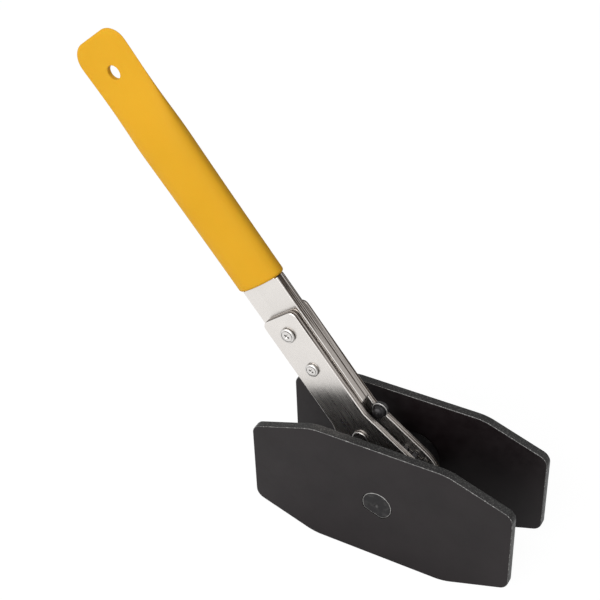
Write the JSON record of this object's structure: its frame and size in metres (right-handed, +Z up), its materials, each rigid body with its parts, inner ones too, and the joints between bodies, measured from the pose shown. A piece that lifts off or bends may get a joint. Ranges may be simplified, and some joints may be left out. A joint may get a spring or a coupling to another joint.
{
  "type": "ratcheting brake caliper press",
  "caption": "Hand press whose ratchet handle drives two parallel plates apart to push brake caliper pistons back.",
  "frame": {"origin": "middle of the tool's outer box in plan, on the surface that the press plates' lower edges stand on", "axes": "+Z up; Y along the ratchet axis with the front press plate at -Y; X along the press plates with the handle leaning towards -X"},
  "size_m": [0.2158, 0.0436, 0.2242],
  "materials": {
    "black_coat": "satin",
    "black_oxide": "oiled black oxide",
    "satin_steel": "satin nickel plate",
    "bright_steel": "bright plate",
    "yellow_vinyl": "smooth vinyl"
  },
  "bodies": {
    "handle": {"front_side_plate": "satin_steel", "back_side_plate": "satin_steel", "handle_bar": "satin_steel", "grip_sleeve": "yellow_vinyl", "upper_screw": "bright_steel", "upper_barrel_nut": "bright_steel", "lower_screw": "bright_steel", "lower_barrel_nut": "bright_steel", "pawl_pivot_screw": "bright_steel", "pawl_pivot_barrel_nut": "bright_steel", "detent_spring": "bright_steel"},
    "swivel": {"front_thrust_washer": "black_oxide", "back_thrust_washer": "black_oxide"},
    "wheel": {"ratchet_wheel": "black_oxide", "front_snap_ring": "black_oxide", "back_snap_ring": "black_oxide"},
    "front_press": {"front_press_plate": "black_coat", "front_stud": "black_oxide"},
    "back_press": {"back_press_plate": "black_coat", "back_stud": "black_oxide"},
    "pawl": {"direction_pawl": "black_oxide", "selector_button": "black_oxide", "selector_pin": "black_oxide"},
    "plunger": {"detent_plunger": "bright_steel"}
  },
  "joints": [
    {"name": "handle_swing", "type": "hinge", "parent": "handle", "child": "swivel", "pos_m": [0.04493, 0, 0.0321], "axis": [0, 1, 0], "continuous": true},
    {"name": "screw_turn", "type": "hinge", "parent": "swivel", "child": "wheel", "pos_m": [0.04493, 0, 0.0321], "axis": [0, 1, 0], "range_deg": [0, 1980]},
    {"name": "front_spread", "type": "slide", "parent": "swivel", "child": "front_press", "axis": [0, -1, 0], "range_m": [0, 0.011]},
    {"name": "back_spread", "type": "slide", "parent": "swivel", "child": "back_press", "axis": [0, 1, 0], "range_m": [0, 0.011]},
    {"name": "selector_throw", "type": "hinge", "parent": "handle", "child": "pawl", "pos_m": [0.02898, 0, 0.0527], "axis": [0, 1, 0], "range_deg": [0, 16]},
    {"name": "plunger_slide", "type": "slide", "parent": "handle", "child": "plunger", "axis": [-0.6122, 0, 0.7907], "range_m": [0, 0.001]}
  ],
  "couplings": [
    {"joint": "screw_turn", "follows": "front_spread", "rad_per_m": 3141.6},
    {"joint": "back_spread", "follows": "front_spread", "ratio": 1}
  ]
}
